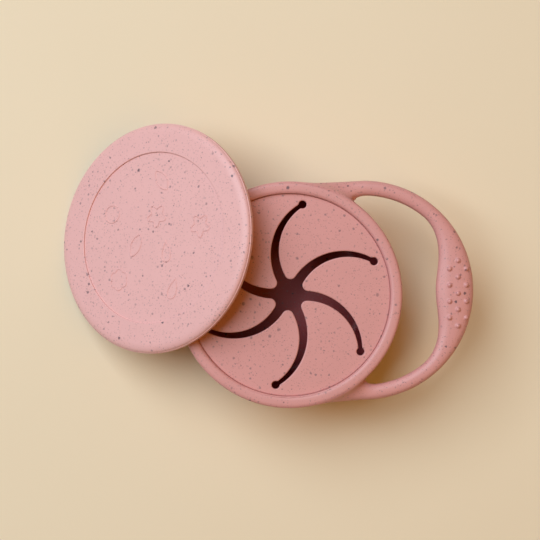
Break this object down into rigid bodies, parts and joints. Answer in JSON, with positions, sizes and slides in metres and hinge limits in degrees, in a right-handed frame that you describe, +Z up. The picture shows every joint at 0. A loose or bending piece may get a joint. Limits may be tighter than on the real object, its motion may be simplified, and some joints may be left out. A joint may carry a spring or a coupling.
{
  "type": "toddler snack container",
  "caption": "Round soft snack cup with a loop handle and a dotted grip, a rim insert of curved push-through flaps, and a snap-over cover that is off and leans on the rim.",
  "frame": {"origin": "centre of the cup's flat base, on the surface it stands on", "axes": "+Z up the cup's axis, +X from the cup's axis towards the handle's grip"},
  "size_m": [0.198, 0.1347, 0.0613],
  "materials": {
    "cup": "matte",
    "handle": "matte",
    "insert": "matte",
    "cover": "matte"
  },
  "bodies": {
    "cup": {"cup_body": "cup", "handle": "handle"},
    "insert": {"flap_ring": "insert"},
    "cover": {"cover": "cover"},
    "flap_1": {"flap_1": "insert"},
    "flap_2": {"flap_2": "insert"},
    "flap_3": {"flap_3": "insert"},
    "flap_4": {"flap_4": "insert"},
    "flap_5": {"flap_5": "insert"},
    "flap_6": {"flap_6": "insert"}
  },
  "joints": [
    {"name": "cover_lift", "type": "slide", "parent": "cup", "child": "cover", "axis": [0, 0, 1], "range_m": [0, 0.06]},
    {"name": "insert_lift", "type": "slide", "parent": "cup", "child": "insert", "axis": [0, 0, 1], "range_m": [0, 0.03]},
    {"name": "flap_1_bend", "type": "hinge", "parent": "insert", "child": "flap_1", "pos_m": [0.02313, 0.02908, 0.0376], "axis": [0.7826, -0.6225, 0], "range_deg": [-20, 70], "stiffness_Nm_per_rad": 0.012, "springref_deg": -1.03},
    {"name": "flap_2_bend", "type": "hinge", "parent": "insert", "child": "flap_2", "pos_m": [-0.01362, 0.03457, 0.0376], "axis": [0.9304, 0.3665, 0], "range_deg": [-20, 70], "stiffness_Nm_per_rad": 0.012, "springref_deg": -1.03},
    {"name": "flap_3_bend", "type": "hinge", "parent": "insert", "child": "flap_3", "pos_m": [-0.03674, 0.00549, 0.0376], "axis": [0.1478, 0.989, 0], "range_deg": [-20, 70], "stiffness_Nm_per_rad": 0.012, "springref_deg": -1.03},
    {"name": "flap_4_bend", "type": "hinge", "parent": "insert", "child": "flap_4", "pos_m": [-0.02313, -0.02908, 0.0376], "axis": [-0.7826, 0.6225, 0], "range_deg": [-20, 70], "stiffness_Nm_per_rad": 0.012, "springref_deg": -1.03},
    {"name": "flap_5_bend", "type": "hinge", "parent": "insert", "child": "flap_5", "pos_m": [0.01362, -0.03457, 0.0376], "axis": [-0.9304, -0.3665, 0], "range_deg": [-20, 70], "stiffness_Nm_per_rad": 0.012, "springref_deg": -1.03},
    {"name": "flap_6_bend", "type": "hinge", "parent": "insert", "child": "flap_6", "pos_m": [0.03674, -0.00549, 0.0376], "axis": [-0.1478, -0.989, 0], "range_deg": [-20, 70], "stiffness_Nm_per_rad": 0.012, "springref_deg": -1.03}
  ],
  "couplings": [
    {"joint": "insert_lift", "follows": "cover_lift", "ratio": 0.5}
  ]
}
